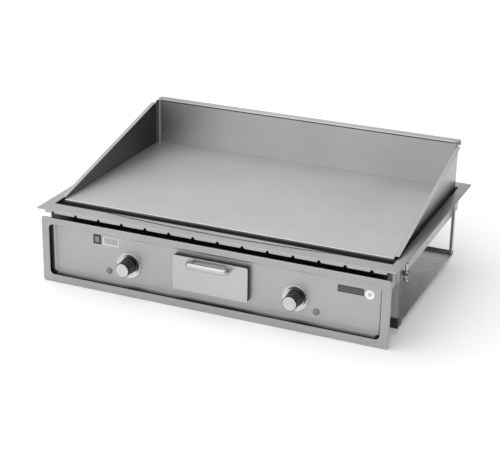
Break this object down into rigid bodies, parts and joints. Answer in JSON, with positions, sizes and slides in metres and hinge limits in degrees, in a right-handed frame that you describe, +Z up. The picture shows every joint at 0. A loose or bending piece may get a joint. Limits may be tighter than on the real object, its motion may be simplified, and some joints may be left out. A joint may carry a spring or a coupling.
{
  "type": "flat top griddle",
  "caption": "Drop-in flat top griddle with a counter flange, three-sided splash guard, front control panel with turning knobs and a sliding grease drawer.",
  "frame": {"origin": "under the middle of the whole box, at the height of the front trim's lowest edge", "axes": "+X to the operator's right, -Y towards the operator, +Z up"},
  "size_m": [0.914, 0.6514, 0.311],
  "materials": {
    "brushed_stainless": "fine brushed grain",
    "ground_plate_steel": "ground and matte",
    "trough_steel": "dull, darkened by heat",
    "plated_sheet": "mill finish plated sheet",
    "drawer_steel": "plain formed sheet",
    "dark_painted_steel": "matte black",
    "polished_chrome": "polished",
    "knob_plastic": "satin black",
    "knob_metal": "spun face",
    "zinc_hardware": "zinc plated",
    "element_sheath": "oxidised sheath",
    "mineral_wool": "fibrous",
    "steatite": "unglazed",
    "thermostat_body": "moulded",
    "capillary_copper": "bare",
    "lamp_plastic": "moulded lens",
    "wire_sleeve": "woven sleeve",
    "rubber_grommet": "soft",
    "dark_plate": "blank",
    "pale_plate": "blank"
  },
  "bodies": {
    "chassis": {"body_front_wall": "plated_sheet", "bottom_pan": "plated_sheet", "capillaries": "capillary_copper", "clamp_bolts": "zinc_hardware", "conduit_bush": "zinc_hardware", "control_box": "plated_sheet", "control_panel": "brushed_stainless", "corner_gussets": "dark_painted_steel", "counter_clamps": "plated_sheet", "element_clamps": "zinc_hardware", "element_leads": "wire_sleeve", "front_trim": "brushed_stainless", "grease_trough": "trough_steel", "griddle_plate": "ground_plate_steel", "heater_box": "plated_sheet", "insulation_board": "mineral_wool", "junction_box": "plated_sheet", "junction_cover": "plated_sheet", "lamp_barrels": "thermostat_body", "left_dial_ring": "polished_chrome", "left_drawer_runner": "plated_sheet", "left_emblem_plate": "dark_plate", "left_heating_element": "element_sheath", "left_lamp_lens": "lamp_plastic", "left_rating_plate": "pale_plate", "left_rear_strap": "brushed_stainless", "left_splash_side": "brushed_stainless", "left_thermostat": "thermostat_body", "left_wiring_loom": "wire_sleeve", "plate_rails": "plated_sheet", "plate_studs": "zinc_hardware", "right_dial_ring": "polished_chrome", "right_drawer_runner": "plated_sheet", "right_heating_element": "element_sheath", "right_lamp_lens": "lamp_plastic", "right_name_plate": "dark_plate", "right_rear_strap": "brushed_stainless", "right_round_badge": "pale_plate", "right_splash_side": "brushed_stainless", "right_thermostat": "thermostat_body", "right_wiring_loom": "wire_sleeve", "splash_back": "brushed_stainless", "splash_rivets": "zinc_hardware", "stud_nuts": "zinc_hardware", "terminal_block": "thermostat_body", "terminal_bushes": "steatite", "top_flange": "brushed_stainless", "trim_brackets": "plated_sheet", "wall_grommets": "rubber_grommet"},
    "left_control": {"left_knob": "knob_plastic", "left_knob_insert": "knob_metal", "left_thermostat_shaft": "zinc_hardware"},
    "right_control": {"right_knob": "knob_plastic", "right_knob_insert": "knob_metal", "right_thermostat_shaft": "zinc_hardware"},
    "grease_drawer": {"drawer_front": "brushed_stainless", "drawer_surround": "dark_painted_steel", "drawer_pan": "drawer_steel", "drawer_handle": "polished_chrome", "handle_screws": "zinc_hardware"}
  },
  "joints": [
    {"name": "left_knob_turn", "type": "hinge", "parent": "chassis", "child": "left_control", "pos_m": [-0.214, -0.30225, 0.076], "axis": [0, 1, 0], "range_deg": [0, 300]},
    {"name": "right_knob_turn", "type": "hinge", "parent": "chassis", "child": "right_control", "pos_m": [0.214, -0.30225, 0.076], "axis": [0, 1, 0], "range_deg": [0, 300]},
    {"name": "drawer_slide", "type": "slide", "parent": "chassis", "child": "grease_drawer", "axis": [0, -1, 0], "range_m": [0, 0.3]}
  ]
}
